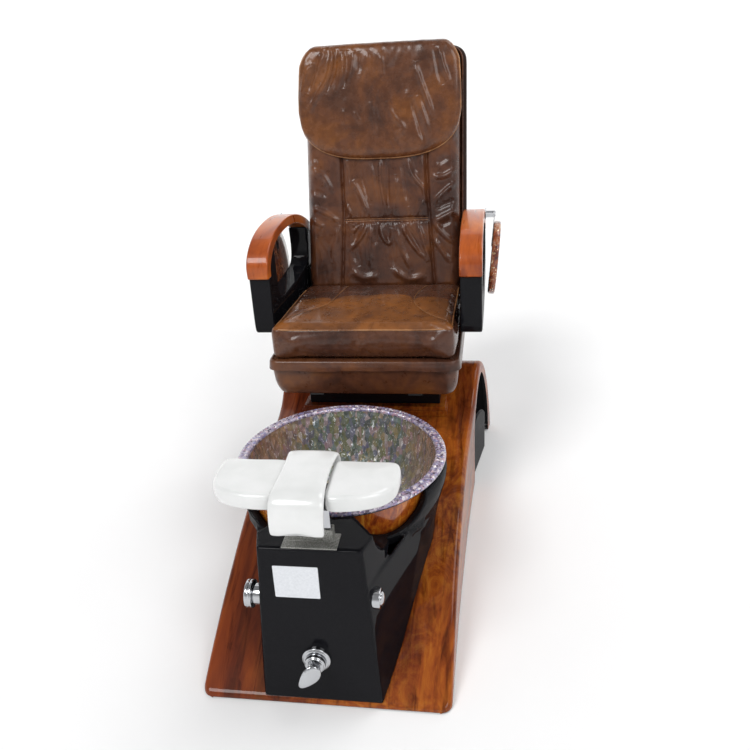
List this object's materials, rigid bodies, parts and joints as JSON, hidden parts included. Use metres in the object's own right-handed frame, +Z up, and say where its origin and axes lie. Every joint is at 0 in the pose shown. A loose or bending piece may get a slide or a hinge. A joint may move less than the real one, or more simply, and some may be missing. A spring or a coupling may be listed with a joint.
{
  "type": "pedicure spa chair",
  "caption": "Reclining massage seat on a curved wood-grain deck with a glass foot bowl on a black pedestal, an adjustable footrest, and armrests with folding side trays.",
  "frame": {"origin": "on the floor, on the centre plane, under the middle of the whole chair's box", "axes": "+X to the sitter's left, +Y to the back of the chair, +Z up"},
  "size_m": [0.8066, 1.7351, 1.3614],
  "materials": {
    "deck_grain": "gloss",
    "cap_grain": "gloss",
    "black_gloss": "gloss",
    "black_shell": "satin",
    "leather": "satin",
    "white_vinyl": "gloss",
    "bowl_glass": "gloss",
    "tray_resin": "gloss",
    "chrome": "polished",
    "steel": "satin",
    "painted_steel": "satin",
    "brass": "satin",
    "pvc": "satin",
    "rubber": "matte",
    "motor_paint": "satin",
    "roller_rubber": "matte",
    "card": "matte"
  },
  "bodies": {
    "base": {"base_shell": "deck_grain", "base_frame": "painted_steel", "leveling_feet": "rubber", "side_pods": "black_gloss", "seat_plinth": "deck_grain", "mount_box": "black_shell", "rail_channels": "steel", "slide_motor": "painted_steel", "pedestal_shell": "black_gloss", "bowl": "bowl_glass", "bowl_gasket": "rubber", "drain_flange": "chrome", "drain_pipe": "pvc", "supply_pipes": "steel", "fill_pipe": "chrome", "mixer_body": "brass", "mixer_escutcheon": "chrome", "knob_bezels": "chrome", "pump_housing": "pvc", "pump_motor": "motor_paint", "pump_pipes": "pvc", "footrest_bracket": "steel", "label_card": "card"},
    "slide_screw": {"slide_screw": "steel"},
    "drain_plug": {"drain_plug": "chrome"},
    "drain_knob": {"drain_knob": "chrome"},
    "jet_button": {"jet_button": "chrome"},
    "mixer_hub": {"mixer_hub": "chrome"},
    "mixer_lever": {"mixer_lever": "chrome"},
    "pump_impeller": {"pump_impeller": "pvc"},
    "footrest_post": {"footrest_post": "steel", "footrest_pin": "steel"},
    "footrest": {"footrest_hinge_plate": "painted_steel", "footrest_bar": "white_vinyl", "footrest_pad": "white_vinyl"},
    "seat": {"seat_frame": "painted_steel", "rail_sliders": "steel", "slide_nut": "brass", "seat_skirt": "leather", "seat_cushion": "leather", "control_box": "black_shell", "recline_actuator": "black_shell", "back_hinge_pins": "steel", "arm_pivots": "steel"},
    "recline_rod": {"recline_rod": "chrome"},
    "back": {"back_frame": "painted_steel", "back_shell": "leather", "back_pad": "leather", "head_flap": "leather", "massage_guides": "steel"},
    "massage_carriage": {"massage_carriage": "black_shell"},
    "massage_rollers": {"massage_rollers": "roller_rubber"},
    "arm_left": {"arm_panels_left": "black_gloss", "arm_cap_left": "cap_grain", "tray_hinge_left": "chrome"},
    "arm_right": {"arm_panels_right": "black_gloss", "arm_cap_right": "cap_grain", "tray_hinge_right": "chrome"},
    "tray_left": {"tray_left": "tray_resin"},
    "tray_right": {"tray_right": "tray_resin"}
  },
  "joints": [
    {"name": "seat_slide", "type": "slide", "parent": "base", "child": "seat", "axis": [0, 1, 0], "range_m": [-0.08, 0.1]},
    {"name": "slide_screw_turn", "type": "hinge", "parent": "base", "child": "slide_screw", "pos_m": [0, 0.19, 0.384], "axis": [0, 1, 0], "continuous": true},
    {"name": "drain_knob_turn", "type": "hinge", "parent": "base", "child": "drain_knob", "pos_m": [-0.15, -0.76, 0.281], "axis": [-1, 0, 0], "range_deg": [0, 90]},
    {"name": "drain_plug_lift", "type": "slide", "parent": "base", "child": "drain_plug", "axis": [0, 0, 1], "range_m": [0, 0.008]},
    {"name": "jet_button_press", "type": "slide", "parent": "base", "child": "jet_button", "axis": [-1, 0, 0], "range_m": [0, 0.004], "stiffness_N_per_m": 600},
    {"name": "mixer_turn", "type": "hinge", "parent": "base", "child": "mixer_hub", "pos_m": [-0.006, -0.81, 0.1385], "axis": [0, 1, 0], "range_deg": [-100, 10]},
    {"name": "mixer_lift", "type": "hinge", "parent": "mixer_hub", "child": "mixer_lever", "pos_m": [-0.006, -0.8325, 0.1385], "axis": [-0.7071, 0, 0.7071], "range_deg": [0, 20]},
    {"name": "pump_spin", "type": "hinge", "parent": "base", "child": "pump_impeller", "pos_m": [-0.03, 0.28, 0.172], "axis": [1, 0, 0], "continuous": true},
    {"name": "footrest_height", "type": "slide", "parent": "base", "child": "footrest_post", "axis": [0, 0, 1], "range_m": [0, 0.06]},
    {"name": "footrest_tilt", "type": "hinge", "parent": "footrest_post", "child": "footrest", "pos_m": [0, -0.75, 0.522], "axis": [1, 0, 0], "range_deg": [-15, 25]},
    {"name": "back_recline", "type": "hinge", "parent": "seat", "child": "back", "pos_m": [0, 0.535, 0.505], "axis": [-1, 0, 0], "range_deg": [0, 35]},
    {"name": "recline_rod_travel", "type": "slide", "parent": "seat", "child": "recline_rod", "axis": [0, 1, 0], "range_m": [-0.0425, 0]},
    {"name": "massage_travel", "type": "slide", "parent": "back", "child": "massage_carriage", "axis": [0, 0.2924, 0.9563], "range_m": [-0.23, 0.44]},
    {"name": "massage_roll", "type": "hinge", "parent": "massage_carriage", "child": "massage_rollers", "pos_m": [0, 0.66017, 0.81181], "axis": [1, 0, 0], "continuous": true},
    {"name": "arm_lift_left", "type": "hinge", "parent": "seat", "child": "arm_left", "pos_m": [-0.29, 0.63, 0.6], "axis": [-1, 0, 0], "range_deg": [0, 65]},
    {"name": "arm_lift_right", "type": "hinge", "parent": "seat", "child": "arm_right", "pos_m": [0.29, 0.63, 0.6], "axis": [-1, 0, 0], "range_deg": [0, 65]},
    {"name": "tray_fold_left", "type": "hinge", "parent": "arm_left", "child": "tray_left", "pos_m": [-0.379, 0.507, 0.822], "axis": [0, 1, 0], "range_deg": [0, 95]},
    {"name": "tray_fold_right", "type": "hinge", "parent": "arm_right", "child": "tray_right", "pos_m": [0.379, 0.507, 0.822], "axis": [0, -1, 0], "range_deg": [0, 95]}
  ],
  "couplings": [
    {"joint": "slide_screw_turn", "follows": "seat_slide", "rad_per_m": 628.32},
    {"joint": "drain_plug_lift", "follows": "drain_knob_turn", "m_per_rad": 0.004966},
    {"joint": "recline_rod_travel", "follows": "back_recline", "m_per_rad": -0.068851}
  ]
}
